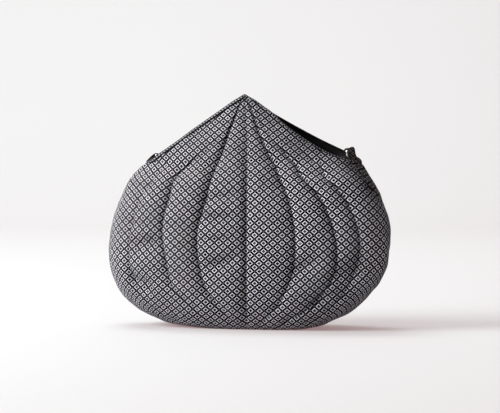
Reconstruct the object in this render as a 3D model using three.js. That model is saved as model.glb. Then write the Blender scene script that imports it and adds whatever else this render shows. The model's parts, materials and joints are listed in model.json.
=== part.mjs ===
// Brocade handbag in the form of a lotus bud: two padded panels whose sewn tucks make eight puffed
// channels each, a black lining, a bound mouth along the two top slopes, and a folded cloth tab
// with a metal D-ring at each end of the mouth.
// Millimetres, +Z up, front towards -Y, origin on the ground under the middle of the base.

import * as THREE from 'three';
import { mergeVertices } from 'three/addons/utils/BufferGeometryUtils.js';

// Cloth
const SEAM_GAP = 0.3;          // left open between pieces that are sewn together
const LINING_THICKNESS = 1;
const LINING_GAP = 0.45;       // between a panel and its lining
const BINDING_HEIGHT = 4.5;    // width of the bound edge, down from the mouth
const BINDING_PROUD = 0.4;     // how far the bound edge stands out from the panel
const BINDING_CREST = 0.7;     // how far its fold rises above the mouth line
const BINDING_CLEAR = 0.6;     // between the bound edge and the panel below it
const TWIST = 0.12;            // the soft body turns: the right side stands forward, the left back

// Sections of the body up to the ends of the mouth: reach of the outline to the left and right of
// the centre, and how far the front and the back stand out at the centre seam.
const BODY_SECTIONS = [
  { z: 0, left: 57, right: 60, depth: 34 },
  { z: 3, left: 79, right: 76, depth: 43 },
  { z: 8, left: 92, right: 88, depth: 49 },
  { z: 15, left: 107, right: 101, depth: 52.5 },
  { z: 25, left: 121, right: 114, depth: 54.5 },
  { z: 40, left: 135, right: 127, depth: 55.5 },
  { z: 58, left: 142.5, right: 138, depth: 56 },
  { z: 78, left: 144.9, right: 143.4, depth: 56 },
  { z: 98, left: 143.4, right: 144.9, depth: 55.5 },
  { z: 116, left: 140.3, right: 142.4, depth: 54 },
  { z: 133, left: 134.5, right: 137, depth: 51.5 },
  { z: 148, left: 128.3, right: 129.3, depth: 48 },
  { z: 160, left: 120.5, right: 122.5, depth: 44.5 },
  { z: 166, left: 115, right: 119, depth: 42.2 },
  { z: 170, left: 110.5, right: 116, depth: 40.6 },
];

// Sections through the open mouth: half the width of the gap between the two edges, and where each
// edge lies. The right half of the front edge sags.
const MOUTH_SECTIONS = [
  {
    z: 172.5, depth: 39.6, gap: 7.2,
    frontLeft: 106.5, frontRight: 109.5, backLeft: 106.5, backRight: 113.8,
  },
  { z: 174.5, depth: 38.7, gap: 10.3, frontLeft: 103, frontRight: 101, backLeft: 102.5, backRight: 112 },
  { z: 177, depth: 37.6, gap: 12, frontLeft: 99.7, frontRight: 91, backLeft: 98.3, backRight: 109 },
  { z: 181, depth: 35.7, gap: 13.4, frontLeft: 93.8, frontRight: 78.6, backLeft: 91, backRight: 102.5 },
  { z: 187, depth: 32.9, gap: 14.2, frontLeft: 85, frontRight: 67.6, backLeft: 82, backRight: 87.5 },
  { z: 195, depth: 28.8, gap: 14.4, frontLeft: 73.5, frontRight: 56.5, backLeft: 70, backRight: 71 },
  { z: 204, depth: 24, gap: 13, frontLeft: 60.3, frontRight: 43, backLeft: 56.5, backRight: 54 },
  { z: 213, depth: 19, gap: 11, frontLeft: 47.2, frontRight: 32, backLeft: 43.8, backRight: 37 },
  { z: 222, depth: 14, gap: 9, frontLeft: 34, frontRight: 22.2, backLeft: 31.5, backRight: 25 },
  { z: 230, depth: 9.8, gap: 7.2, frontLeft: 22.5, frontRight: 14, backLeft: 21, backRight: 15 },
  { z: 236, depth: 7, gap: 6, frontLeft: 14, frontRight: 7.2, backLeft: 13.4, backRight: 7.6 },
  { z: 239.5, depth: 5.6, gap: 5.3, frontLeft: 8.6, frontRight: 1.8, backLeft: 8.6, backRight: 1.8 },
];
const TIP_Z = 241;
const TIP_LEAN = [
  { z: 130, lean: 0 },
  { z: 190, lean: -1 },
  { z: TIP_Z, lean: -3.4 },
];

// Sewn tucks: where the three tucks of each half lie between the centre (0) and the outline (1),
// how deep they pull in, how deep the centre seam pulls in, and the padded wall's full thickness.
const TUCKS = [
  { z: 0, inner: 0.14, middle: 0.42, outer: 0.76, valley: 0, centre: 0, wall: 3 },
  { z: 15, inner: 0.24, middle: 0.51, outer: 0.79, valley: 0.8, centre: 1.6, wall: 4.2 },
  { z: 35, inner: 0.31, middle: 0.59, outer: 0.81, valley: 3.4, centre: 3.4, wall: 5.8 },
  { z: 95, inner: 0.355, middle: 0.625, outer: 0.82, valley: 4.4, centre: 4, wall: 6.4 },
  { z: 140, inner: 0.31, middle: 0.55, outer: 0.76, valley: 3.4, centre: 3, wall: 5.4 },
  { z: 168, inner: 0.27, middle: 0.47, outer: 0.7, valley: 1.8, centre: 2, wall: 4 },
  { z: 205, inner: 0.28, middle: 0.44, outer: 0.68, valley: 1, centre: 1.2, wall: 3.2 },
  { z: TIP_Z, inner: 0.3, middle: 0.5, outer: 0.75, valley: 0.5, centre: 0.6, wall: 3.2 },
];

// How blunt a half section is (2 is an ellipse). The twist makes opposite quarters alike.
const BLUNT_FULL = 3.4;
const BLUNT_SLACK = 2.4;
const BLUNT_UNTIL_Z = 150;     // above this the section turns into a tent
const TENT_FROM_Z = 178;

// Heights of the mesh rows, and steps across a channel
const BODY_ROWS = [3, 8, 15, 25, 40, 58, 78, 98, 116, 133, 148, 160, 170];
const MOUTH_ROWS = [174.5, 177.5, 181.5, 188, 197, 207, 218, 228, 234.5];
const RIM_PULL_UNTIL_Z = 150;  // the side seam is pulled in up to here
const RIM_PULL = 0.3;          // by this share of a tuck's depth
const RIM_WALL = 2.2;          // the padding is pressed thin along the outline
const BINDING_FROM_Z = 181.5;  // the bound edge starts here, beside the tab
const BINDING_FULL_Z = 190;    // and has its full width from here up
const BINDING_LEAST = 0.5;
const CHANNEL_STEPS = 3;
const SHARP_FROM_Z = 140;      // the form turns sharply from here up to the bound edge
const SAME_POINT = 2e-3;       // points closer than this are one
const LEAST_FACING = 0.4;      // so that a point is never moved further than 2.5 distances
const LEAST_TURN = 0.1;        // a facet turned sideways less than this isn't slid away from

// Tabs and rings
const TAB_WIDTH = 5.2;
const TAB_HALF_THICKNESS = 1.4;
const TAB_HEAD_RADIUS = 3.2;
const TAB_LOW_Z = 165.5;       // where the tab's sewn end starts on the shoulder
const TAB_KNEE_Z = 169.5;      // where it leaves the shoulder
const TAB_REACH = { left: 15, right: 20.8 };     // from there to the eye
const TAB_STAND = { left: 31, right: 36 };       // degrees above the horizontal, inwards
const TAB_GAP = 0.7;
const HEAD_STEPS = 14;
const EYE_RADIUS = 1.3;
const WIRE_RADIUS = 0.9;
const WIRE_SIDES = 8;
const RING_HALF_WIDTH = 4.4;   // to the middle of the wire
const RING_HEIGHT = 7.6;       // from the bar to the bow
const RING_SHOULDER = 3.4;     // straight part of the sides
const RING_LEAN = { left: 54, right: 0 };        // degrees inwards from hanging straight down
const BOW_STEPS = 12;

const COLOURS = {
  brocade: { color: 0x6e6c72, roughness: 0.7, metalness: 0 },
  lining: { color: 0x161519, roughness: 0.85, metalness: 0 },
  binding: { color: 0x504e54, roughness: 0.7, metalness: 0 },
  metal: { color: 0xd9dadd, roughness: 0.2, metalness: 1 },
};

const degrees = THREE.MathUtils.degToRad;
const lerp = THREE.MathUtils.lerp;
const smoothstep = THREE.MathUtils.smoothstep;

// A column of a table as a function of height
function column(rows, key, Interpolant = THREE.CubicInterpolant) {
  const track = new Interpolant(rows.map((row) => row.z), rows.map((row) => row[key]), 1, [0]);
  return (z) => track.evaluate(z)[0];
}

// The outline of one half of a panel, from the body's table and the mouth's
function edgeColumn(bodyKey, mouthKey) {
  const body = BODY_SECTIONS.map((row) => ({ z: row.z, reach: row[bodyKey] }));
  const mouth = MOUTH_SECTIONS.map((row) => ({ z: row.z, reach: row[mouthKey] }));
  return column([...body, ...mouth], 'reach');
}

const depthAt = column([...BODY_SECTIONS, ...MOUTH_SECTIONS], 'depth');
const closedMouth = { z: BODY_SECTIONS.at(-1).z, gap: SEAM_GAP / 2 };
const gapAt = column([closedMouth, ...MOUTH_SECTIONS], 'gap', THREE.LinearInterpolant);
const leanAt = column(TIP_LEAN, 'lean');
const tuckAt = {};
for (const key of ['inner', 'middle', 'outer', 'valley', 'centre', 'wall']) {
  tuckAt[key] = column(TUCKS, key, THREE.LinearInterpolant);
}

const PANELS = {
  front: {
    side: -1,
    left: { edge: edgeColumn('left', 'frontLeft'), blunt: BLUNT_SLACK },
    right: { edge: edgeColumn('right', 'frontRight'), blunt: BLUNT_FULL },
  },
  back: {
    side: 1,
    left: { edge: edgeColumn('left', 'backLeft'), blunt: BLUNT_FULL },
    right: { edge: edgeColumn('right', 'backRight'), blunt: BLUNT_SLACK },
  },
};

// How much of the depth is left at a place between the centre (0) and the outline (1)
function sectionRise(across, z, blunt) {
  const tent = smoothstep(z, BLUNT_UNTIL_Z, TENT_FROM_Z);
  const power = lerp(blunt, 2, tent);
  const root = lerp(1 / blunt, 1, tent);
  return Math.pow(Math.max(0, 1 - Math.pow(across, power)), root);
}

// A point of the smooth outer form, before the tucks and the twist
function formPoint(panel, across, z) {
  const half = across < 0 ? panel.left : panel.right;
  const lean = leanAt(z);
  const span = half.edge(z) + (across < 0 ? lean : -lean);
  const gap = gapAt(z);
  const rise = sectionRise(Math.abs(across), z, half.blunt);
  const y = panel.side * (gap + (depthAt(z) - gap) * rise);
  return new THREE.Vector3(lean + across * span, y, z);
}

function bindingHeight(z) {
  const grown = smoothstep(z, BINDING_FROM_Z, BINDING_FULL_Z);
  return BINDING_HEIGHT * lerp(BINDING_LEAST, 1, grown);
}

// How far a panel and its lining reach across at a height, leaving room for the bound edge
function trimmedReach(half, z, lean) {
  if (z < BINDING_FROM_Z) return 1;
  const step = 1;
  const run = (half.edge(z + step) - half.edge(z - step)) / (2 * step);
  const bound = (bindingHeight(z) + SEAM_GAP) * Math.hypot(1, run);
  return 1 - bound / (half.edge(z) + lean);
}

// Places across one half at a height, from the centre seam to the outline, each with how close it
// lies to a seam (1) or to the crown of a channel (0), and whether that seam is the centre one
function channelPlaces(z) {
  const seams = [0, tuckAt.inner(z), tuckAt.middle(z), tuckAt.outer(z), 1];
  const places = [];
  for (let channel = 0; channel < seams.length - 1; channel += 1) {
    const last = channel === seams.length - 2;
    for (let step = channel === 0 ? 0 : 1; step <= CHANNEL_STEPS; step += 1) {
      const along = step / CHANNEL_STEPS;
      const eased = last ? Math.sin(along * Math.PI / 2) : along;
      const pull = 1 - Math.sin(Math.PI * along);
      places.push({
        across: lerp(seams[channel], seams[channel + 1], eased),
        pull,
        centre: channel === 0 && along < 0.5,
        rim: last && step === CHANNEL_STEPS,
      });
    }
  }
  return places;
}

// One row of a panel's form, left to right
function formRow(panel, z) {
  const lean = leanAt(z);
  const row = [];
  const places = channelPlaces(z);
  const signed = [
    ...places.slice(1).reverse().map((place) => ({ ...place, sign: -1 })),
    ...places.map((place) => ({ ...place, sign: 1 })),
  ];
  for (const place of signed) {
    const half = place.sign < 0 ? panel.left : panel.right;
    const reach = trimmedReach(half, z, place.sign < 0 ? lean : -lean);
    const point = formPoint(panel, place.sign * place.across * reach, z);
    const depth = place.centre ? tuckAt.centre(z) : tuckAt.valley(z);
    const rimShare = z > RIM_PULL_UNTIL_Z ? 0 : RIM_PULL;
    const pull = place.pull * depth * (place.rim ? rimShare : 1);
    const wall = place.rim ? RIM_WALL : tuckAt.wall(z);
    row.push({ point, pull, wall, rim: place.rim, z });
  }
  return row;
}

// All rows of a panel: the flat base from its seam outwards, then up to the mouth
function formGrid(panel) {
  const fold = formRow(panel, 0);
  const base = [0, 0.5].map((share) => fold.map((cell) => {
    const point = cell.point.clone();
    point.y = panel.side * lerp(SEAM_GAP / 2, Math.abs(cell.point.y), share);
    return { ...cell, point, flat: true };
  }));
  const rows = [...BODY_ROWS, ...MOUTH_ROWS].map((z) => formRow(panel, z));
  return [...base, fold, ...rows];
}

// Outward direction at each cell of a form, from its neighbours
function addNormals(panel, grid) {
  const down = new THREE.Vector3(0, 0, -1);
  grid.forEach((row, j) => row.forEach((cell, i) => {
    const left = row[Math.max(i - 1, 0)].point;
    const right = row[Math.min(i + 1, row.length - 1)].point;
    const below = grid[Math.max(j - 1, 0)][i].point;
    const above = grid[Math.min(j + 1, grid.length - 1)][i].point;
    const along = right.clone().sub(left);
    const up = above.clone().sub(below);
    cell.normal = along.cross(up).multiplyScalar(-panel.side).normalize();
    const sewn = cell.rim && cell.z <= BODY_ROWS.at(-1);
    if (sewn) {
      const last = cell.z === BODY_ROWS.at(-1);
      const outline = last ? cell.point.clone().sub(below) : above.clone().sub(cell.point);
      const outwards = Math.sign(cell.point.x);
      cell.normal.set(outwards * Math.abs(outline.z), 0, -outwards * outline.x).normalize();
    }
    if (cell.flat) cell.normal.copy(down);
  }));
  return grid;
}

// A point kept on its panel's side of the seam
function onOwnSide(panel, point) {
  point.y = panel.side * Math.max(SEAM_GAP / 2, panel.side * point.y);
  return point;
}

function twist(point) {
  return new THREE.Vector3(point.x, point.y - TWIST * point.x, point.z);
}

// A layer of a form: moved inwards by a distance that may depend on the cell
function layer(panel, grid, inwards) {
  return grid.map((row) => row.map((cell) => (
    onOwnSide(panel, cell.point.clone().addScaledVector(cell.normal, -inwards(cell)))
  )));
}

// Outward directions of the facets that meet at one point of a layer
function facetsAround(panel, points, j, i) {
  const here = points[j][i];
  const facets = [];
  const add = (a, b, c) => {
    const facet = b.clone().sub(a).cross(c.clone().sub(a));
    const touches = a === here || b === here || c === here;
    if (touches && facet.length() > SAME_POINT * SAME_POINT) {
      facets.push(facet.normalize().multiplyScalar(-panel.side));
    }
  };
  for (const [low, left] of [[j, i], [j - 1, i], [j, i - 1], [j - 1, i - 1]]) {
    const a = points[low]?.[left];
    const b = points[low]?.[left + 1];
    const c = points[low + 1]?.[left + 1];
    const d = points[low + 1]?.[left];
    if (a && c && b && d) {
      add(a, b, c);
      add(a, c, d);
    }
  }
  return facets;
}

// A layer inside another one. Beside the ends of the mouth, where the form turns sharply, it lies
// at least the distance behind every facet.
function insetLayer(panel, grid, points, distance) {
  return points.map((row, j) => row.map((point, i) => {
    const cell = grid[j][i];
    if (cell.z < SHARP_FROM_Z || cell.z >= BINDING_FROM_Z) {
      return onOwnSide(panel, point.clone().addScaledVector(cell.normal, -distance));
    }
    const facets = facetsAround(panel, points, j, i);
    const mean = facets.reduce((sum, facet) => sum.add(facet), new THREE.Vector3()).normalize();
    const least = Math.max(LEAST_FACING, Math.min(...facets.map((facet) => facet.dot(mean))));
    const moved = onOwnSide(panel, point.clone().addScaledVector(mean, -distance / least));
    const outwards = Math.sign(point.x);
    for (const facet of facets) {
      const behind = point.clone().sub(moved).dot(facet);
      const slide = outwards * facet.x;
      if (behind < distance && slide > LEAST_TURN) moved.x -= outwards * (distance - behind) / slide;
    }
    return moved;
  }));
}

// A closed solid from an outer and an inner layer of points
function shellGeometry(outer, inner) {
  const rows = outer.length;
  const columns = outer[0].length;
  const points = [...outer.flat(), ...inner.flat()];
  const positions = points.flatMap((point) => twist(point).toArray());
  const at = (deep, j, i) => deep * rows * columns + j * columns + i;
  const index = [];
  const quad = (a, b, c, d) => index.push(a, b, c, a, c, d);
  for (let j = 0; j < rows - 1; j += 1) {
    for (let i = 0; i < columns - 1; i += 1) {
      quad(at(0, j, i), at(0, j, i + 1), at(0, j + 1, i + 1), at(0, j + 1, i));
      quad(at(1, j, i), at(1, j + 1, i), at(1, j + 1, i + 1), at(1, j, i + 1));
    }
    quad(at(0, j, 0), at(0, j + 1, 0), at(1, j + 1, 0), at(1, j, 0));
    const end = columns - 1;
    quad(at(0, j, end), at(1, j, end), at(1, j + 1, end), at(0, j + 1, end));
  }
  for (let i = 0; i < columns - 1; i += 1) {
    const top = rows - 1;
    quad(at(0, 0, i), at(1, 0, i), at(1, 0, i + 1), at(0, 0, i + 1));
    quad(at(0, top, i), at(0, top, i + 1), at(1, top, i + 1), at(1, top, i));
  }
  return closedGeometry(positions, index);
}

// Merged vertices, no collapsed triangles, faces outwards
function closedGeometry(positions, index) {
  const loose = new THREE.BufferGeometry();
  loose.setAttribute('position', new THREE.Float32BufferAttribute(positions, 3));
  loose.setIndex(index);
  const geometry = mergeVertices(loose, SAME_POINT);
  const corners = geometry.getIndex().array;
  const kept = [];
  for (let k = 0; k < corners.length; k += 3) {
    const [a, b, c] = [corners[k], corners[k + 1], corners[k + 2]];
    if (a !== b && b !== c && c !== a) kept.push(a, b, c);
  }
  if (signedVolume(geometry, kept) < 0) kept.reverse();
  geometry.setIndex(kept);
  return geometry;
}

function signedVolume(geometry, index) {
  const position = geometry.getAttribute('position');
  const corner = [new THREE.Vector3(), new THREE.Vector3(), new THREE.Vector3()];
  let volume = 0;
  for (let k = 0; k < index.length; k += 3) {
    corner.forEach((point, n) => point.fromBufferAttribute(position, index[k + n]));
    volume += corner[0].dot(corner[1].cross(corner[2])) / 6;
  }
  return volume;
}

// A solid lofted through closed loops of points; a ring joins its last loop to its first
function loftGeometry(loops, ring = false) {
  const sides = loops[0].length;
  const positions = loops.flat().flatMap((point) => point.toArray());
  const index = [];
  const spans = ring ? loops.length : loops.length - 1;
  for (let k = 0; k < spans; k += 1) {
    const next = (k + 1) % loops.length;
    for (let n = 0; n < sides; n += 1) {
      const m = (n + 1) % sides;
      const [a, b] = [k * sides + n, k * sides + m];
      const [c, d] = [next * sides + m, next * sides + n];
      index.push(a, b, c, a, c, d);
    }
  }
  if (!ring) {
    const last = (loops.length - 1) * sides;
    for (let n = 1; n < sides - 1; n += 1) {
      index.push(0, n + 1, n, last, last + n, last + n + 1);
    }
  }
  return closedGeometry(positions, index);
}

function mesh(name, geometry, colour) {
  const material = new THREE.MeshStandardMaterial({ ...COLOURS[colour], name: colour });
  const node = new THREE.Mesh(geometry, material);
  node.name = name;
  return node;
}

// Padded brocade panel: tucks pull the outside in, the inside is smooth
function panelGeometry(panel) {
  const grid = addNormals(panel, formGrid(panel));
  const outer = layer(panel, grid, (cell) => cell.pull);
  const inner = layer(panel, grid, (cell) => cell.wall);
  return shellGeometry(outer, inner);
}

// Lining: a thin layer that follows the inside of its panel
function liningGeometry(panel) {
  const grid = addNormals(panel, formGrid(panel));
  const inside = layer(panel, grid, (cell) => cell.wall);
  const outer = insetLayer(panel, grid, inside, LINING_GAP);
  const inner = insetLayer(panel, grid, outer, LINING_THICKNESS);
  return shellGeometry(outer, inner);
}

// Places along a panel's mouth, from the left end over the tip to the right end: the mouth line,
// and the cell at the panel's own edge below it
function mouthPlaces(panel) {
  const grid = addNormals(panel, formGrid(panel));
  const rows = grid.filter((row) => row[0].z >= BINDING_FROM_Z);
  const beside = (row, sign) => {
    const cell = sign < 0 ? row[0] : row.at(-1);
    return { cell, edge: formPoint(panel, sign, cell.z) };
  };
  const top = rows.at(-1);
  const middle = (top.length - 1) / 2;
  const shoulderZ = MOUTH_SECTIONS.at(-1).z;
  const over = [
    { cell: top[middle - CHANNEL_STEPS], edge: formPoint(panel, -1, shoulderZ) },
    { cell: top[middle], edge: formPoint(panel, 0, TIP_Z) },
    { cell: top[middle + CHANNEL_STEPS], edge: formPoint(panel, 1, shoulderZ) },
  ];
  return [
    ...rows.map((row) => beside(row, -1)),
    ...over,
    ...rows.map((row) => beside(row, 1)).reverse(),
  ];
}

// Bound edge: a folded strip that closes the panel and its lining along the mouth
function bindingGeometry(panel) {
  const loops = mouthPlaces(panel).map(({ cell, edge }) => {
    const rise = edge.clone().sub(cell.point);
    const low = cell.point.clone().addScaledVector(rise, BINDING_CLEAR / rise.length());
    const thick = cell.wall + LINING_GAP + LINING_THICKNESS;
    const crest = edge.clone().addScaledVector(rise.normalize(), BINDING_CREST);
    const place = (point, inwards) => (
      twist(onOwnSide(panel, point.clone().addScaledVector(cell.normal, -inwards)))
    );
    return [
      place(low, -BINDING_PROUD),
      place(edge, -BINDING_PROUD),
      place(crest, thick / 2),
      place(edge, thick),
      place(low, thick),
    ];
  });
  return loftGeometry(loops);
}

// A panel with its bound edge and its lining
function clothMeshes(name) {
  const panel = PANELS[name];
  return [
    mesh(`${name}_panel`, panelGeometry(panel), 'brocade'),
    mesh(`binding_${name}`, bindingGeometry(panel), 'binding'),
    mesh(`lining_${name}`, liningGeometry(panel), 'lining'),
  ];
}

// Where a tab lies: along the shoulder from its sewn end to its knee, then free to its eye
function tabRoute(side) {
  const sign = side === 'left' ? -1 : 1;
  const shoulder = (z) => {
    const edge = PANELS.front[side].edge;
    const slope = (edge(z + 1) - edge(z - 1)) / 2;
    const away = new THREE.Vector2(1, -slope).normalize();
    const lift = TAB_HALF_THICKNESS + TAB_GAP;
    return new THREE.Vector2(edge(z) + away.x * lift, z + away.y * lift);
  };
  const low = shoulder(TAB_LOW_Z);
  const knee = shoulder(TAB_KNEE_Z);
  const stand = degrees(TAB_STAND[side]);
  const reach = new THREE.Vector2(-Math.cos(stand), Math.sin(stand));
  const eye = knee.clone().addScaledVector(reach, TAB_REACH[side]);
  const y = -TWIST * sign * (knee.x + eye.x) / 2;
  return { sign, low, knee, eye, reach, y };
}

// Folded cloth loop: a strip on the shoulder that ends in a round head with an eye
function tabMesh(side) {
  const { sign, low, knee, eye, reach, y } = tabRoute(side);
  const start = knee.clone().sub(low).normalize();
  const offset = (point, direction, distance) => new THREE.Vector2(
    point.x + direction.y * distance,
    point.y - direction.x * distance,
  );
  const bend = start.clone().add(reach).normalize();
  const neck = Math.asin(TAB_HALF_THICKNESS / TAB_HEAD_RADIUS);
  const towards = Math.atan2(-reach.y, -reach.x);
  const outline = [
    offset(low, start, -TAB_HALF_THICKNESS),
    offset(low, start, TAB_HALF_THICKNESS),
    offset(knee, bend, TAB_HALF_THICKNESS),
  ];
  for (let step = 0; step <= HEAD_STEPS; step += 1) {
    const turn = towards + neck + (2 * Math.PI - 2 * neck) * step / HEAD_STEPS;
    const spoke = new THREE.Vector2(Math.cos(turn), Math.sin(turn));
    outline.push(eye.clone().addScaledVector(spoke, TAB_HEAD_RADIUS));
  }
  outline.push(offset(knee, bend, -TAB_HALF_THICKNESS));
  const placed = outline.map((point) => new THREE.Vector2(sign * point.x, point.y));
  const shape = new THREE.Shape(sign < 0 ? placed.reverse() : placed);
  const hole = new THREE.Path();
  hole.absarc(sign * eye.x, eye.y, EYE_RADIUS, 0, 2 * Math.PI, true);
  shape.holes.push(hole);
  const settings = { depth: TAB_WIDTH, bevelEnabled: false, curveSegments: HEAD_STEPS };
  const extruded = new THREE.ExtrudeGeometry(shape, settings).getAttribute('position');
  const inOrder = Array.from({ length: extruded.count }, (unused, k) => k);
  const geometry = closedGeometry(Array.from(extruded.array), inOrder);
  const node = mesh(`tab_${side}`, geometry, 'binding');
  node.rotation.x = Math.PI / 2;
  node.position.y = y + TAB_WIDTH / 2;
  return node;
}

// D-ring: a bar through the tab's eye, straight sides and a round bow. The left one leans on the
// lining, the right one hangs straight down.
function ringMesh(side) {
  const { sign, eye, y: middle } = tabRoute(side);
  const line = [];
  for (const share of [-1, -0.5, 0, 0.5]) line.push([share * RING_HALF_WIDTH, 0]);
  line.push([RING_HALF_WIDTH, 0]);
  const bowHeight = RING_HEIGHT - RING_SHOULDER;
  for (let step = 0; step <= BOW_STEPS; step += 1) {
    const turn = Math.PI * step / BOW_STEPS;
    const rise = RING_SHOULDER + bowHeight * Math.sin(turn);
    line.push([RING_HALF_WIDTH * Math.cos(turn), rise]);
  }
  const count = line.length;
  const loops = line.map(([y, drop], k) => {
    const [beforeY, beforeDrop] = line[(k + count - 1) % count];
    const [afterY, afterDrop] = line[(k + 1) % count];
    const along = new THREE.Vector2(afterY - beforeY, afterDrop - beforeDrop).normalize();
    const loop = [];
    for (let n = 0; n < WIRE_SIDES; n += 1) {
      const turn = 2 * Math.PI * n / WIRE_SIDES;
      const across = WIRE_RADIUS * Math.cos(turn);
      const through = WIRE_RADIUS * Math.sin(turn);
      loop.push(new THREE.Vector3(through, y - along.y * across, -(drop + along.x * across)));
    }
    return loop;
  });
  const node = mesh(`ring_${side}`, loftGeometry(loops, true), 'metal');
  node.position.set(sign * eye.x, middle, eye.y);
  node.rotation.y = sign * degrees(RING_LEAN[side]);
  return node;
}

const handbag = new THREE.Group();
for (const name of ['front', 'back']) {
  handbag.add(...clothMeshes(name));
}
for (const side of ['left', 'right']) {
  handbag.add(tabMesh(side), ringMesh(side));
}

export default handbag;
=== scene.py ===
"""Brocade handbag in the form of a lotus bud, dressed over its CAD frame.

Lengths are in millimetres until a mesh is made. Front towards -Y, +Z up.
"""

import json
import math

import bpy
import numpy as np
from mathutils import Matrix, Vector


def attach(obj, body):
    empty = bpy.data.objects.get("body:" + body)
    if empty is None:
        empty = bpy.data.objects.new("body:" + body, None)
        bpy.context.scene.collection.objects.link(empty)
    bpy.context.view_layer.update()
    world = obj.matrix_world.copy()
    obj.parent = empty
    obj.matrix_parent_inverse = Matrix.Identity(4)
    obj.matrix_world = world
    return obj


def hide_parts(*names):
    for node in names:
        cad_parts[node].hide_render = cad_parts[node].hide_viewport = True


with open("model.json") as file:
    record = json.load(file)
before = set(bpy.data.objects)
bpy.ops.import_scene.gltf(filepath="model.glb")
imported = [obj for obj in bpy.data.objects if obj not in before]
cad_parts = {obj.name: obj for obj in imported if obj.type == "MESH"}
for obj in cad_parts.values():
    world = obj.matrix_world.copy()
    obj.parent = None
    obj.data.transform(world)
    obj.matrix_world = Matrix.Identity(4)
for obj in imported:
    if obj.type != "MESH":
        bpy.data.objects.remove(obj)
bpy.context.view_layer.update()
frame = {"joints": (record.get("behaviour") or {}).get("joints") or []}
MM = 0.001

# Form of the bag: half widths left and right, and half depths, at heights above the floor
TWIST = 0.12
TIP_Z = 241.0
BODY = np.array([
    # z, left, right, depth
    [0, 61, 59.5, 34], [3, 84, 74.5, 39.5], [8, 98.5, 86, 44], [15, 114, 101.5, 48],
    [25, 128.3, 115.2, 51.4], [40, 142.2, 129.6, 54.2], [58, 149, 141, 55.7], [78, 150.7, 146.4, 56],
    [98, 148.6, 147.5, 55.5], [116, 145, 144.4, 54], [133, 138.6, 139, 51.5], [148, 131.9, 131.3, 48],
    [160, 123.2, 123.7, 44.5], [166, 116.4, 120, 42.2], [170, 111.4, 117, 40.6],
])
MOUTH = np.array([
    # z, depth, gap, front left, front right, back left, back right
    [172.5, 39.6, 5.2, 107.5, 110.5, 107, 116.6], [174.5, 38.7, 8.6, 104, 102, 103, 115],
    [177, 37.6, 11.4, 100.2, 94, 98.8, 111.2], [181, 35.7, 13.4, 94.2, 84, 91.4, 103.5],
    [187, 32.9, 14.2, 85.4, 72.4, 82.2, 90.8], [195, 28.8, 14.4, 73.9, 59.4, 70.2, 74],
    [204, 24, 13, 61.8, 46, 57.4, 56.8], [213, 19, 11, 49, 34.4, 45.2, 40.4],
    [222, 14, 9, 36, 25.4, 33, 24.8], [230, 9.8, 7.2, 24.6, 14.2, 22.6, 12],
    [236, 7, 6, 15.8, 5.8, 14.4, 4], [239.5, 5.6, 5.3, 10, -0.6, 9.6, -1.6],
])
LEAN = np.array([[130, 0], [190, -1], [222, -3], [TIP_Z, -5.2]])
TUCKS = {
    # z, then the inner, middle and outer tuck's share of the way to the edge
    -1: np.array([
        [0, 0.12, 0.36, 0.78], [15, 0.18, 0.40, 0.80], [38, 0.28, 0.52, 0.82], [70, 0.33, 0.56, 0.83],
        [98, 0.35, 0.60, 0.84], [134, 0.31, 0.60, 0.82], [167, 0.29, 0.58, 0.78], [185, 0.29, 0.47, 0.80],
        [200, 0.31, 0.41, 0.82], [TIP_Z, 0.34, 0.42, 0.82],
    ]),
    1: np.array([
        [0, 0.16, 0.40, 0.74], [10, 0.20, 0.47, 0.75], [20, 0.26, 0.56, 0.77], [40, 0.31, 0.62, 0.79],
        [98, 0.34, 0.62, 0.79], [118, 0.33, 0.59, 0.77], [138, 0.31, 0.55, 0.73], [168, 0.26, 0.44, 0.65],
        [184, 0.28, 0.49, 0.72], [205, 0.27, 0.44, 0.72], [TIP_Z, 0.25, 0.42, 0.72],
    ]),
}
VALLEYS = {
    # depth of each seam at a height, from the outer tuck on the left (-3) to that on the right (3)
    -3: [[0, 0.2], [30, 1.6], [70, 2.8], [120, 2.6], [150, 1.8], [175, 0.6], [TIP_Z, 0.2]],
    -2: [[0, 0.2], [25, 1.6], [45, 3.2], [80, 5.4], [145, 5.2], [168, 3.4], [184, 1.8], [202, 0.6],
         [TIP_Z, 0.3]],
    -1: [[0, 0.3], [15, 1.6], [35, 3.6], [80, 6.0], [140, 6.4], [190, 4.6], [215, 3.2], [TIP_Z, 1.2]],
    0: [[0, 0.6], [15, 3.0], [40, 4.6], [95, 5.4], [150, 4.4], [185, 2.8], [TIP_Z, 0.8]],
    1: [[0, 0.3], [15, 2.2], [35, 4.6], [80, 6.2], [150, 5.8], [190, 4.2], [215, 3.0], [TIP_Z, 1.0]],
    2: [[0, 0.4], [15, 3.0], [35, 5.2], [80, 6.2], [155, 5.6], [175, 3.4], [200, 1.2], [TIP_Z, 0.4]],
    3: [[0, 0.3], [15, 1.6], [40, 3.4], [80, 4.6], [140, 4.4], [165, 2.4], [185, 0.8], [TIP_Z, 0.3]],
}
# Soft dents of the padding in front: x, z, half length, height, depth, rise along x
DENTS = [
    (-28, 137, 17, 5.5, 4.4, 0.25), (-30, 116, 19, 6, 5.0, 0.05), (-29, 93, 17, 5, 2.4, 0.1),
    (-27, 69, 18, 8, 4.8, 0.25), (-72, 107, 16, 5, 2.8, -0.05), (-108, 88, 14, 8, 6.2, 0.15),
    (-113, 47, 14, 8, 6.0, -0.4), (-113, 146, 16, 6, 2.4, 0.1), (-117, 109, 18, 6, 3.0, 0.05),
    (60, 66, 15, 9, 5.4, 0.3), (106, 61, 15, 15, 7.0, 0.3), (80, 33, 17, 7, 3.8, 0.45),
    (30, 150, 14, 8, 1.6, -0.1),
]
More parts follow.
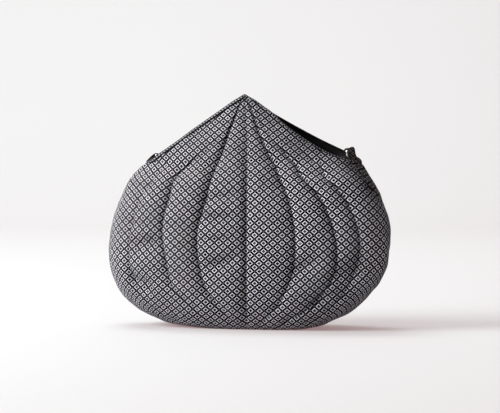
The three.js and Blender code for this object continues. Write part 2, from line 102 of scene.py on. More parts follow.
# Where the front panel ends on the right: the back's cloth comes over the shoulder there
FRONT_END = np.array([[125, 1], [140, 0.975], [159, 0.94], [170, 0.905], [172.5, 0.955], [174.5, 1]])
BLUNT_FULL, BLUNT_SLACK = 3.4, 2.4
BLUNT_UNTIL, TENT_FROM = 150.0, 178.0      # a section is blunt up to here, and like a tent from there
SEWN_UNTIL = 170.0             # the two panels are sewn together up to here
SEAM_GAP = 0.5
CHANNEL_STEPS = 28
CROWDING = 0.1                 # columns stand closer beside the seams
CREASE_WIDTHS = (2.0, 6.2)     # a tuck pulls the cloth in over about this distance, right and left of it
CREASE_SHARES = (0.08, 0.22)   # and over no more than this share of its channel
ARCH = 0.30                    # share of a tuck's depth that bends the whole channel
RIM_DEPTH = 1.9                # the side seam is pulled in by this
RIM_RISE = (4, 40)             # between these heights, from none to all of it
SHADE_WIDTHS = (0.7, 3.0)      # painted shade beside a tuck over about this distance, right and left of it
SHADE_POWER = 1.4
CENTRE_SHADE = 1.7             # times as far beside the centre seam
DARK_DEPTH = 5                 # a tuck as deep as this gets the full painted shade
PANEL_WALL = 1.8
MOUTH_RISE = (170, 176)        # heights over which the mouth's edge begins
MOUTH_BLEND = 16               # distance from that edge over which the wall turns level
INSIDE_SHADE = 1.6             # painted shade that makes the inner face of the cloth dark
LINING_INSET = np.array([[150, 14], [168, 9.4], [205, 6.6], [TIP_Z, 4.2]])
LINING_RIM = 2.4               # inset at the bound edge
LINING_GAP = 2.0               # between the two halves
LINING_WALL = 0.6

# Brocade: pitch of its diamonds across and along the cloth
PITCH_U, PITCH_V = 9.5, 8.22
UPRIGHT = 0.8
STEEPEST = 0.6                 # the weave is drawn out where the cloth leans more than this
STEEP_FROM = 12                # above this height
WIDEST_Z = 86
UPPER_SPREAD, UPPER_RISE = 0.05, (120, 170)      # the weave is closer by this share towards the mouth
TURN_SHARES = (0.62, 0.38)     # how far into the outer channel the cloth's own length begins to count
TURN_RISES = ((105, 150), (163, 172))            # two steps of that, each between two heights
SIDE_BLEND = 0.7               # over this share of it, the weave's rise begins to follow the side seam
SIDE_END = (158, 170)          # and ends between these heights
SEAM_HOLD = 0.15               # share of the outer channel where the side seam doesn't yet draw the weave


def column(z, values):
    """A table's column as a smooth function of height."""
    slopes = np.gradient(values, z)

    def at(height):
        height = np.clip(height, z[0], z[-1])
        k = np.clip(np.searchsorted(z, height) - 1, 0, len(z) - 2)
        step = z[k + 1] - z[k]
        t = (height - z[k]) / step
        hold = (1 + 2 * t) * (1 - t) ** 2 * values[k] + t * t * (3 - 2 * t) * values[k + 1]
        turn = t * (1 - t) ** 2 * slopes[k] - t * t * (1 - t) * slopes[k + 1]
        return hold + step * turn

    return at


def smooth(value, low, high):
    t = np.clip((value - low) / (high - low), 0, 1)
    return t * t * (3 - 2 * t)


def lengths_along(points):
    """Length from the first point of each row of points."""
    steps = np.linalg.norm(np.diff(points, axis=-2), axis=-1)
    return np.concatenate([np.zeros((*steps.shape[:-1], 1)), np.cumsum(steps, axis=-1)], axis=-1)


def unit(directions):
    return directions / np.maximum(np.linalg.norm(directions, axis=-1, keepdims=True), 1e-9)


def edge_column(body, mouth):
    z = np.concatenate([BODY[:, 0], MOUTH[:, 0]])
    return column(z, np.concatenate([BODY[:, body], MOUTH[:, mouth]]))


EDGES = {
    ("front", -1): edge_column(1, 3), ("front", 1): edge_column(2, 4),
    ("back", -1): edge_column(1, 5), ("back", 1): edge_column(2, 6),
}
BLUNT = {
    ("front", -1): BLUNT_SLACK, ("front", 1): BLUNT_FULL,
    ("back", -1): BLUNT_FULL, ("back", 1): BLUNT_SLACK,
}
SIDE = {"front": -1, "back": 1}
depth_at = column(
    np.concatenate([BODY[:, 0], MOUTH[:, 0]]), np.concatenate([BODY[:, 3], MOUTH[:, 1]])
)


def gap_at(z):
    """Half the gap between the panels: a seam up to the ends of the mouth, then opening."""
    heights = np.concatenate([[SEWN_UNTIL], MOUTH[:, 0]])
    gaps = np.concatenate([[SEAM_GAP / 2], MOUTH[:, 2]])
    return np.interp(z, heights, gaps)


lean_at = column(LEAN[:, 0], LEAN[:, 1])
tuck_at = {
    (sign, key): column(table[:, 0], table[:, 1 + key]) for sign, table in TUCKS.items() for key in range(3)
}


def valley(z, seam):
    table = np.array(VALLEYS[seam])
    return np.interp(z, table[:, 0], table[:, 1])


def form(name, across, z):
    """Points of a panel's smooth form, before its tucks and the twist."""
    left = across < 0
    lean = lean_at(z)
    edge = np.where(left, EDGES[name, -1](z), EDGES[name, 1](z))
    blunt = np.where(left, BLUNT[name, -1], BLUNT[name, 1])
    span = edge + np.where(left, lean, -lean)
    tent = smooth(z, BLUNT_UNTIL, TENT_FROM)
    power = blunt + (2 - blunt) * tent
    root = 1 / blunt + (1 - 1 / blunt) * tent
    rise = np.maximum(0, 1 - np.abs(across) ** power) ** root
    gap = gap_at(z)
    y = SIDE[name] * (gap + (depth_at(z) - gap) * rise)
    return np.stack([lean + across * span, y, z], axis=-1)


def places():
    """Columns of a panel as channel number, place along it, and side, from left to right."""
    half = []
    for channel in range(4):
        first = 0 if channel == 0 else 1
        for step in range(first, CHANNEL_STEPS + 1):
            half.append((channel, step / CHANNEL_STEPS))
    left = [(c, t, -1) for c, t in half[:0:-1]]
    return left + [(c, t, 1) for c, t in half]


COLUMNS = places()
MIDDLE = len(COLUMNS) // 2


def front_end(z):
    return np.interp(z, FRONT_END[:, 0], FRONT_END[:, 1])


def row_across(name, z):
    """Where the columns lie across a row."""
    across = []
    for channel, t, sign in COLUMNS:
        end = front_end(z) if name == "front" and sign > 0 else 1
        seams = (0, *(tuck_at[sign, key](z) for key in range(3)), end)
        t -= CROWDING * math.sin(2 * math.pi * t)
        eased = math.sin(t * math.pi / 2) if channel == 3 else t
        across.append(sign * (seams[channel] + (seams[channel + 1] - seams[channel]) * eased))
    return np.array(across)


def row_pull(row, z):
    """How far the tucks pull in each column of a row, and the painted shade beside them: how close it lies
    to one (1 is in it).
    """
    place = lengths_along(row)
    pull, painted_shade = np.zeros(len(row)), np.zeros(len(row))
    for first in range(0, len(row) - 1, CHANNEL_STEPS):
        last = first + CHANNEL_STEPS
        width = max(place[last] - place[first], 1e-6)
        part = slice(first, last + 1)
        along = (place[part] - place[first]) / width
        channel = np.zeros(CHANNEL_STEPS + 1)
        for way, seam in enumerate((first, last)):
            away = np.abs(place[part] - place[seam])
            spread = min(CREASE_WIDTHS[way], CREASE_SHARES[way] * width)
            outline = seam in (0, len(row) - 1)
            if outline:
                depth = RIM_DEPTH * smooth(z, *RIM_RISE) if z < BLUNT_UNTIL else 0
            else:
                depth = valley(z, (seam - MIDDLE) // CHANNEL_STEPS)
            near = depth * (1 - ARCH) * np.exp(-away / spread)
            half = np.where((along < 0.5) == (seam == first), 1.0, 0.0)
            arch = depth * ARCH * half * (1 - np.sin(math.pi * along))
            channel = channel + near + arch
            if not outline:
                # painted shade beside the tuck, darker for a deeper one
                wide = SHADE_WIDTHS[way] * (CENTRE_SHADE if seam == MIDDLE else 1)
                dark = np.exp(-(away / wide) ** SHADE_POWER) * min(1, depth / DARK_DEPTH)
                painted_shade[part] = np.maximum(painted_shade[part], dark)
        pull[part] = np.maximum(pull[part], channel)
    return pull, painted_shade


# Rows of a panel: on the floor, close together around the bottom's edge, up the body and up the mouth
FLAT_ROWS = 6
LOW_ROWS = [0, 0.25, 0.6, 1.1, 1.7, 2.4, 3.2, 4.2, 5.4, 6.8, 8.4, 10.2, 12.2]
BODY_FROM, BODY_STEP = 14.5, 2.3
MOUTH_FROM, MOUTH_UNTIL, MOUTH_STEP = 171.2, 239.5, 1.6
HEIGHTS = np.concatenate([LOW_ROWS, np.arange(BODY_FROM, SEWN_UNTIL, BODY_STEP), [SEWN_UNTIL],
                          np.arange(MOUTH_FROM, MOUTH_UNTIL, MOUTH_STEP), [MOUTH_UNTIL]])
WIDEST = FLAT_ROWS + int(np.argmin(np.abs(HEIGHTS - WIDEST_Z)))

# Painted shade at the edges: how dark, over what distance, how sharply, and between which heights it comes
RIM_SHADE, RIM_SHADE_WIDTH, RIM_SHADE_POWER, RIM_SHADE_RISE = 0.8, 5.5, 2, (15, 60)
STRIP_SHADE, STRIP_SHADE_WIDTH, STRIP_SHADE_POWER, STRIP_SHADE_RISE = 1.35, 11.0, 1.6, (105, 155)
EDGE_SHADE, EDGE_SHADE_WIDTH, EDGE_SHADE_POWER, EDGE_SHADE_RISE = 1.35, 5.0, 2, (171, 176)
MOUTH_LIGHTER = 0.6            # the painted shade at the front's edge is weaker by this share at the mouth


def shoulder_shade(row, z):
    """Painted shade on the front's cloth along its right rim and beside the strip that comes over the right
    shoulder.
    """
    away = row[-1, 0] - row[:, 0]
    rim = RIM_SHADE * np.exp(-(away / RIM_SHADE_WIDTH) ** RIM_SHADE_POWER) * smooth(z, *RIM_SHADE_RISE)
    strip = STRIP_SHADE * np.exp(-(away / STRIP_SHADE_WIDTH) ** STRIP_SHADE_POWER)
    strip = strip * smooth(z, *STRIP_SHADE_RISE)
    return np.maximum(rim, strip) * (1 - MOUTH_LIGHTER * smooth(z, *EDGE_SHADE_RISE))


def grid_of(name):
    """A panel's smooth form as rows of points, with the tucks' pull, painted shade and directions."""
    rows, pulls, creases_and_shades = [], [], []
    for z in HEIGHTS:
        across = row_across(name, z)
        rows.append(form(name, across, np.full_like(across, z)))
        # painted shade beside the tucks, and on the front beside its right edge
        pull, painted_shade = row_pull(rows[-1], z)
        if name == "front":
            painted_shade = np.maximum(painted_shade, shoulder_shade(rows[-1], z))
        pulls.append(pull)
        creases_and_shades.append(painted_shade)
    fold = rows[0]
    for share in np.linspace(1, 0, FLAT_ROWS + 1)[1:]:
        flat = fold.copy()
        flat[:, 1] = SIDE[name] * (SEAM_GAP / 2 + (np.abs(fold[:, 1]) - SEAM_GAP / 2) * share)
        rows.insert(0, flat)
        pulls.insert(0, np.zeros(len(fold)))
        creases_and_shades.insert(0, creases_and_shades[0])
    points, pulls, creases_and_shades = np.array(rows), np.array(pulls), np.array(creases_and_shades)
    along = np.gradient(points, axis=1)
    up = np.gradient(points, axis=0)
    out = unit(np.cross(along, up) * -SIDE[name])
    sewn = points[:, 0, 2] <= SEWN_UNTIL
    for end in (0, -1):
        out[sewn, end, 1] = 0
    out = unit(out)
    out[: FLAT_ROWS + 1] = (0, 0, -1)
    return points, pulls, creases_and_shades, out


def twisted(points):
    moved = points.copy()
    moved[..., 1] -= TWIST * moved[..., 0]
    return moved


def own_side(name, points, gap=SEAM_GAP):
    moved = points.copy()
    moved[..., 1] = SIDE[name] * np.maximum(gap / 2, SIDE[name] * moved[..., 1])
    return moved


def cloth_coordinates(points, smooth_points):
    """Coordinates on the cloth: across it from the centre seam, and along it from the widest row.

    The threads stay upright in the part that faces forwards or backwards: away from the widest
    row, places across mostly follow that row's. Round the sides they follow the cloth's own length,
    and below the widest row they keep their place along the side seam.
    """
    def from_centre(rows):
        length = lengths_along(rows)
        return length - length[:, MIDDLE:MIDDLE + 1]

    own = from_centre(points)
    widest = from_centre(smooth_points)[WIDEST]
    u = np.zeros(own.shape)
    v = np.zeros(own.shape)
    for j in range(len(points)):
        upright = np.interp(smooth_points[j, :, 0], smooth_points[WIDEST, :, 0], widest)
        u[j] = UPRIGHT * upright + (1 - UPRIGHT) * own[j]
    u *= 1 + UPPER_SPREAD * smooth(smooth_points[..., 2], *UPPER_RISE)
    heights = smooth_points[:, MIDDLE, 2]
    turns = sum(part * smooth(heights, *rise) for part, rise in zip(TURN_SHARES, TURN_RISES))
    number = np.arange(len(COLUMNS))
    far = np.abs(number - MIDDLE) - 3 * CHANNEL_STEPS
    for j, turn in enumerate(turns):
        for sign in (-1, 1):
            place = MIDDLE + sign * (3 + turn) * CHANNEL_STEPS
            beyond = sign * (number - place) > 0
            start_u, start_own = np.interp(place, number, u[j]), np.interp(place, number, own[j])
            u[j, beyond] = start_u + own[j, beyond] - start_own
    for sign, end in ((-1, 0), (1, -1)):
        tuck = MIDDLE + sign * 3 * CHANNEL_STEPS
        for j in range(WIDEST):
            share = (own[j] - own[j, tuck]) / (own[j, end] - own[j, tuck])
            u[j] += (u[WIDEST, end] - u[j, end]) * smooth(share, SEAM_HOLD, 1)
    outer = smooth(far[None, :] / CHANNEL_STEPS - turns[:, None], 0.0, SIDE_BLEND)
    outer *= (1 - smooth(heights, *SIDE_END))[:, None]
    upward = [(j, j - 1, 1) for j in range(WIDEST + 1, len(points))]
    downward = [(j, j + 1, -1) for j in range(WIDEST - 1, -1, -1)]
    for j, near, sign in upward + downward:
        here, known, side = smooth_points[j], smooth_points[near], outer[j]
        y = np.interp(here[:, 0], known[:, 0], known[:, 1])
        there = (1 - side) * np.interp(here[:, 0], known[:, 0], v[near]) + side * v[near]
        rise, lean = here[:, 2] - known[:, 2], np.abs(here[:, 1] - y)
        drawn = np.where(here[:, 2] > STEEP_FROM, np.minimum(lean, STEEPEST * np.abs(rise)), lean)
        spread = np.abs(here[:, 0] - known[:, 0])
        v[j] = there + sign * np.hypot(rise, (1 - side) * drawn + side * spread)
    return np.stack([u / PITCH_U, v / PITCH_V], axis=-1)


WAVE_COUNT = 14


def waves(points, seed, size):
    """A soft seeded unevenness, about -1 to 1."""
    draw = np.random.default_rng(seed)
    total = np.zeros(points.shape[:-1])
    for _ in range(WAVE_COUNT):
        way = draw.normal(size=3)
        way *= 2 * math.pi / (size * draw.uniform(0.6, 1.8) * np.linalg.norm(way))
        total += np.sin(points @ way + draw.uniform(0, 2 * math.pi))
    return total / math.sqrt(WAVE_COUNT)


def add_mesh(name, points, faces, uv=None, sharp=None, painted_shade=None):
    mesh = bpy.data.meshes.new(name)
    mesh.from_pydata((np.asarray(points).reshape(-1, 3) * MM).tolist(), [], faces)
    if uv is not None:
        layer = mesh.uv_layers.new(name="cloth")
        corners = np.empty(len(mesh.loops), dtype=np.int64)
        mesh.loops.foreach_get("vertex_index", corners)
        layer.data.foreach_set("uv", np.asarray(uv).reshape(-1, 2)[corners].ravel())
    mesh.polygons.foreach_set("use_smooth", [True] * len(mesh.polygons))
    if sharp is not None:
        ends = np.empty(len(mesh.edges) * 2, dtype=np.int64)
        mesh.edges.foreach_get("vertices", ends)
        ends = ends.reshape(-1, 2)
        flags = mesh.attributes.new("sharp_edge", "BOOLEAN", "EDGE")
        flags.data.foreach_set("value", sharp[ends[:, 0]] & sharp[ends[:, 1]])
    # the painted shade goes into a point attribute that darkens the brocade
    if painted_shade is not None:
        depth = mesh.attributes.new("painted_shade", "FLOAT", "POINT")
        depth.data.foreach_set("value", painted_shade.ravel())
    mesh.update()
    obj = bpy.data.objects.new(name, mesh)
    bpy.context.scene.collection.objects.link(obj)
    return obj


def grid_faces(rows, columns, flip=False, ring=False):
    faces = []
    across = columns if ring else columns - 1
    for j in range(rows - 1):
        for i in range(across):
            k = (i + 1) % columns
            quad = [j * columns + i, j * columns + k, (j + 1) * columns + k, (j + 1) * columns + i]
            faces.append(quad[::-1] if flip else quad)
    return faces


def shell_faces(rows, columns, flip):
    """Faces of a grid, of the wall's other side, whose corners follow, and of the rim between them."""
    count = rows * columns
    outer = grid_faces(rows, columns, flip)
    inner = [[corner + count for corner in face[::-1]] for face in outer]
    border = list(range(columns))
    border += [j * columns + columns - 1 for j in range(1, rows)]
    border += [count - 1 - i for i in range(1, columns)]
    border += [j * columns for j in range(rows - 2, 0, -1)]
    rim = []
    for here, after in zip(border, border[1:] + border[:1]):
        quad = [after, here, here + count, after + count]
        rim.append(quad[::-1] if flip else quad)
    return outer + inner + rim


def solidify(obj, thickness, offset=-1.0):
    modifier = obj.modifiers.new("thickness", "SOLIDIFY")
    modifier.thickness = thickness * MM
    modifier.offset = offset
    modifier.use_rim = True


# Materials


class Nodes:
    """A small helper to write node trees as sums."""

    def __init__(self, name):
        self.material = bpy.data.materials.new(name)
        self.material.use_nodes = True
        self.tree = self.material.node_tree
        self.shader = self.tree.nodes["Principled BSDF"]

    def add(self, kind, **settings):
        node = self.tree.nodes.new(kind)
        for key, value in settings.items():
            setattr(node, key, value)
        return node

    def link(self, source, target):
        if isinstance(source, bpy.types.NodeSocket):
            self.tree.links.new(source, target)
        else:
            target.default_value = source

    def math(self, operation, *values):
        node = self.add("ShaderNodeMath", operation=operation)
        for value, socket in zip(values, node.inputs):
            self.link(value, socket)
        return node.outputs[0]

    def step(self, value, low, high):
        node = self.add("ShaderNodeMapRange", interpolation_type="SMOOTHSTEP")
        for given, socket in zip((value, low, high, 0.0, 1.0), node.inputs):
            self.link(given, socket)
        return node.outputs[0]

    def mix(self, share, a, b):
        node = self.add("ShaderNodeMix", data_type="RGBA")
        self.link(share, node.inputs[0])
        for value, socket in ((a, node.inputs[6]), (b, node.inputs[7])):
            self.link(value if isinstance(value, bpy.types.NodeSocket) else (*value, 1), socket)
        return node.outputs[2]

    def tone(self, colour, amount):
        """A colour times a number."""
        node = self.add("ShaderNodeVectorMath", operation="SCALE")
        self.link(colour, node.inputs[0])
        self.link(amount, node.inputs["Scale"])
        return node.outputs[0]

    def noise(self, vector, scale, detail=3.0):
        node = self.add("ShaderNodeTexNoise")
        self.link(vector, node.inputs["Vector"])
        node.inputs["Scale"].default_value = scale
        node.inputs["Detail"].default_value = detail
        return node.outputs["Fac"]

    def bump(self, height, distance, strength):
        node = self.add("ShaderNodeBump")
        node.inputs["Strength"].default_value = strength
        node.inputs["Distance"].default_value = distance * MM
        self.link(height, node.inputs["Height"])
        self.link(node.outputs[0], self.shader.inputs["Normal"])


# Brocade: its colours, and where a cell's ring and corners lie, from its middle (0) to its border (1)
PALE = (0.935, 0.925, 1.0)
CENTRE = (0.055, 0.053, 0.062)
CROSSING = (0.045, 0.043, 0.052)
GROUND = (0.001, 0.0009, 0.0014)
RING_INSIDE, RING_OUTSIDE, CORNERS = (0.45, 0.50), (0.60, 0.65), (0.55, 0.80)
CELL_CHANGE, CELL_LEAST = 0.12, 0.90      # each cell has its own tone
THREADS, WEFTS, WARPS = 34.0, 21, 24      # fine threads to a diamond: noise, along it and across it
RAGGED, FLECK = 0.10, 0.35                # what the noise does to a ring's outline and tone
WEAR, WEAR_SCALE = 0.14, 26.0
# how much the painted shade darkens the cloth
PAINTED_SHADE_DARK = 0.6
ROUGHNESS, RING_SMOOTHER = 0.72, 0.16
RING_RAISED, WEAVE_RAISED, THREAD_RAISED = 0.9, 0.5, 0.12


def brocade(name, strength=1.0, tint=(1.0, 1.0, 1.0)):
    """Black cloth with nested silver diamonds, woven of fine threads."""
    n = Nodes(name)
    cloth = n.add("ShaderNodeUVMap", uv_map="cloth").outputs[0]
    parts = n.add("ShaderNodeSeparateXYZ")
    n.link(cloth, parts.inputs[0])
    u, v = parts.outputs[0], parts.outputs[1]
    rising, falling = n.math("ADD", u, v), n.math("SUBTRACT", u, v)

    def from_middle(value):
        part = n.math("SUBTRACT", n.math("FRACT", value), 0.5)
        return n.math("MULTIPLY", n.math("ABSOLUTE", part), 2.0)

    first, second = from_middle(rising), from_middle(falling)
    outside = n.math("MAXIMUM", first, second)
    crossing = n.math("MINIMUM", first, second)
    cell = n.add("ShaderNodeCombineXYZ")
    n.link(n.math("FLOOR", rising), cell.inputs[0])
    n.link(n.math("FLOOR", falling), cell.inputs[1])
    chance = n.add("ShaderNodeTexWhiteNoise", noise_dimensions="2D")
    n.link(cell.outputs[0], chance.inputs["Vector"])
    cell_tone = n.math("MULTIPLY_ADD", chance.outputs["Value"], CELL_CHANGE, CELL_LEAST)

    thread = n.noise(cloth, THREADS)
    weft = n.math("SINE", n.math("MULTIPLY", v, 2 * math.pi * WEFTS))
    warp = n.math("SINE", n.math("MULTIPLY", u, 2 * math.pi * WARPS))
    ragged = n.math("MULTIPLY_ADD", n.math("SUBTRACT", thread, 0.5), RAGGED, outside)
    ring_in = n.step(ragged, *RING_INSIDE)
    ring_out = n.math("SUBTRACT", 1.0, n.step(ragged, *RING_OUTSIDE))
    ring = n.math("MULTIPLY", ring_in, ring_out)
    centre = n.math("SUBTRACT", 1.0, ring_in)
    corner = n.step(crossing, *CORNERS)

    place = n.add("ShaderNodeTexCoord").outputs["Object"]
    broad = n.noise(place, WEAR_SCALE)
    wear_and_shade = n.math("MULTIPLY_ADD", n.math("SUBTRACT", broad, 0.5), WEAR, strength)
    # painted shade from the mesh darkens the pale and dark threads alike, on top of the random wear
    painted_shade = n.add("ShaderNodeAttribute", attribute_name="painted_shade").outputs["Fac"]
    shade = n.math("MULTIPLY_ADD", painted_shade, -PAINTED_SHADE_DARK, 1.0)
    wear_and_shade = n.math("MULTIPLY", wear_and_shade, shade)
    fleck = n.math("MULTIPLY_ADD", n.math("SUBTRACT", thread, 0.5), FLECK, 1.0)
    tone = n.math("MULTIPLY", n.math("MULTIPLY", cell_tone, wear_and_shade), fleck)
    pale = n.tone(tuple(a * b for a, b in zip(PALE, tint)), tone)
    dark = n.mix(corner, GROUND, tuple(strength * x for x in CROSSING))
    hub = n.tone(tuple(strength * x for x in CENTRE), chance.outputs["Value"])
    dark = n.mix(centre, dark, hub)
    colour = n.mix(ring, n.tone(dark, shade), pale)
    n.link(colour, n.shader.inputs["Base Color"])
    n.link(n.math("MULTIPLY_ADD", ring, -RING_SMOOTHER, ROUGHNESS), n.shader.inputs["Roughness"])
    n.shader.inputs["Specular IOR Level"].default_value = 0.05
    weave = n.math("MULTIPLY_ADD", n.math("ADD", weft, warp), THREAD_RAISED, thread)
    height = n.math("MULTIPLY_ADD", ring, RING_RAISED, n.math("MULTIPLY", weave, WEAVE_RAISED))
    n.bump(height, 0.18, 0.6)
    return n.material


DASH_PITCH, DASH_SLANT, DASH_WAVER, DASH_ENDS = 3.4, 2.2, 0.35, (0.20, 0.28)
DASHES_FROM, DASHES_UNTIL = (0.42, 0.54), (0.74, 0.9)      # places around the folded edge; outside them is the black ground, which below them is also a painted groove shadow


def bound_edge(name, strength):
    """The folded edge: the weave shows as slanting dashes, and under them the black ground also serves as a
    painted shadow of a sewn groove.
    """
    n = Nodes(name)
    cloth = n.add("ShaderNodeUVMap", uv_map="cloth").outputs[0]
    parts = n.add("ShaderNodeSeparateXYZ")
    n.link(cloth, parts.inputs[0])
    around, along = parts.outputs[0], parts.outputs[1]
    thread = n.noise(cloth, 2.6)
    slant = n.math("DIVIDE", n.math("MULTIPLY_ADD", around, DASH_SLANT, along), DASH_PITCH)
    place = n.math("MULTIPLY_ADD", n.math("SUBTRACT", thread, 0.5), DASH_WAVER, slant)
    part = n.math("ABSOLUTE", n.math("SUBTRACT", n.math("FRACT", place), 0.5))
    dash = n.math("SUBTRACT", 1.0, n.step(part, *DASH_ENDS))
    until = n.math("SUBTRACT", 1.0, n.step(around, *DASHES_UNTIL))
    shown = n.math("MULTIPLY", dash, n.math("MULTIPLY", n.step(around, *DASHES_FROM), until))
    tone = n.math("MULTIPLY", n.math("MULTIPLY_ADD", thread, 0.5, 0.4), strength)
    colour = n.mix(shown, GROUND, n.tone(PALE, tone))
    n.link(colour, n.shader.inputs["Base Color"])
    n.shader.inputs["Roughness"].default_value = 0.65
    n.shader.inputs["Specular IOR Level"].default_value = 0.14
    n.bump(n.math("ADD", shown, thread), 0.14, 0.6)
    return n.material


def satin(name):
    """Black lining with a fine warp."""
    n = Nodes(name)
    cloth = n.add("ShaderNodeUVMap", uv_map="cloth").outputs[0]
    parts = n.add("ShaderNodeSeparateXYZ")
    n.link(cloth, parts.inputs[0])
    slub = n.noise(cloth, 12.0, 4.0)
    colour = n.mix(slub, (0.0015, 0.0015, 0.002), (0.005, 0.0048, 0.006))
    n.link(colour, n.shader.inputs["Base Color"])
    n.link(n.math("MULTIPLY_ADD", slub, 0.2, 0.42), n.shader.inputs["Roughness"])
    n.shader.inputs["Specular IOR Level"].default_value = 0.12
    warp = n.math("SINE", n.math("MULTIPLY", parts.outputs[0], 2 * math.pi * 30))
    n.bump(n.math("MULTIPLY_ADD", warp, 0.2, slub), 0.1, 0.5)
    return n.material


def nickel(name):
    """Polished metal with faint handling marks."""
    n = Nodes(name)
    place = n.add("ShaderNodeTexCoord").outputs["Object"]
    marks = n.noise(place, 900.0)
    n.link(n.mix(marks, (0.78, 0.78, 0.79), (0.90, 0.90, 0.91)), n.shader.inputs["Base Color"])
    n.shader.inputs["Metallic"].default_value = 1.0
    n.link(n.math("MULTIPLY_ADD", marks, 0.16, 0.08), n.shader.inputs["Roughness"])
    n.bump(marks, 0.02, 0.4)
    return n.material


BROCADE = brocade("brocade")
# the back's binding is a darker copy of the front's: painted shade inside the mouth
EDGE_CLOTH = {"front": bound_edge("brocade_binding", 0.58), "back": bound_edge("brocade_back_binding_shaded", 0.2)}
# the tabs' brocade: a much darker, browner copy of the panels', painted shade for tabs that stand in shade
TAB_SHADED_CLOTH = brocade("brocade_tab_shaded", strength=0.18, tint=(1.0, 0.82, 0.64))
# the strip's brocade: a darker, redder copy of the panels', painted shade for cloth that turns away from the
# light
SHOULDER_SHADED_CLOTH = brocade("brocade_shoulder_shaded", strength=0.8, tint=(1.0, 0.85, 0.82))
SATIN = satin("lining_satin")
NICKEL = nickel("nickel")


def dress(obj, material, slot, body, *nodes):
    obj.data.materials.append(material)
    if nodes:
        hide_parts(*nodes)
    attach(obj, body)


# Panels and lining

# Painted shade on the upper, downward-facing side of a dent: how dark for its depth, where, how wide, and at
# most
DENT_SHADE, DENT_SHADE_PLACE, DENT_SHADE_WIDTH, DENT_SHADE_MOST = 0.08, 0.45, 0.7, 0.5
# Painted shade towards the tip, low down and low on the right: how dark, and across which heights and places
TIP_SHADE, TIP_SHADE_RISE = 0.16, (150, 195)
LOW_SHADE, LOW_SHADE_RISE = 0.17, (5, 60)
RIGHT_SHADE, RIGHT_SHADE_ACROSS, RIGHT_SHADE_RISE = 0.3, (10, 120), (15, 90)
SEEDS = {"front": 11, "back": 23}
BROAD_WAVES, FINE_WAVES = (0.55, 55), (0.25, 17)      # how high and how long the padding's unevenness is
PUCKER, PUCKER_LENGTH, PUCKER_ACROSS = 0.22, 11, 0.35  # the same of the tucks' puckers
WAVES_RISE, WAVES_FALL, WAVES_LOST = (2, 25), (150, 176), 0.7


def seam_flags(rows):
    """Marks the columns that lie in a tuck or the centre seam."""
    in_seam = np.array([t in (0.0, 1.0) for _, t, _ in COLUMNS])
    in_seam[[0, -1]] = False
    return np.tile(in_seam, rows)


def dents(points):
    """How deep the padding is dented, and the painted shade on the upper side of a dent, which faces down.
    """
    total, painted_dent_shade = np.zeros(points.shape[:-1]), np.zeros(points.shape[:-1])
    for x, z, length, height, depth, rise in DENTS:
        along = np.exp(-((points[..., 0] - x) / length) ** 4)
        over = (points[..., 2] - z - rise * (points[..., 0] - x)) / height
        total += depth * along * np.exp(-np.abs(over) ** 1.4)
        painted_dent_shade += DENT_SHADE * depth * along * np.exp(-((over - DENT_SHADE_PLACE) / DENT_SHADE_WIDTH) ** 2)
    return total, painted_dent_shade


def edge_shade(points):
    """Painted shade on the back's cloth where it is turned in at the mouth."""
    x, z = points[..., 0], points[..., 2]
    away = np.minimum(np.abs(x - x[:, :1]), np.abs(x[:, -1:] - x))
    return EDGE_SHADE * np.exp(-(away / EDGE_SHADE_WIDTH) ** EDGE_SHADE_POWER) * smooth(z, *EDGE_SHADE_RISE)


def painted_shade_tip_low_right(points):
    """Painted shade: the cloth is darker towards the tip, low down, and low on the right."""
    x, z = points[..., 0], points[..., 2]
    low_right = smooth(x, *RIGHT_SHADE_ACROSS) * (1 - smooth(z, *RIGHT_SHADE_RISE))
    upper = TIP_SHADE * smooth(z, *TIP_SHADE_RISE)
    return upper + LOW_SHADE * (1 - smooth(z, *LOW_SHADE_RISE)) + RIGHT_SHADE * low_right


def inner_share(points):
    """How far a point lies from the ends of its row: 0 at an end, 1 past the blend."""
    place = lengths_along(points)
    return smooth(np.minimum(place, place[:, -1:] - place), 0, MOUTH_BLEND)


def level_at_mouth(name, points, out):
    """Directions out of the wall, turned level at the edge of the mouth so that its rim stays in line."""
    at_mouth = (1 - inner_share(points)) * smooth(points[..., 2], *MOUTH_RISE)
    return out + at_mouth[..., None] * (np.array([0, SIDE[name], 0]) - out)


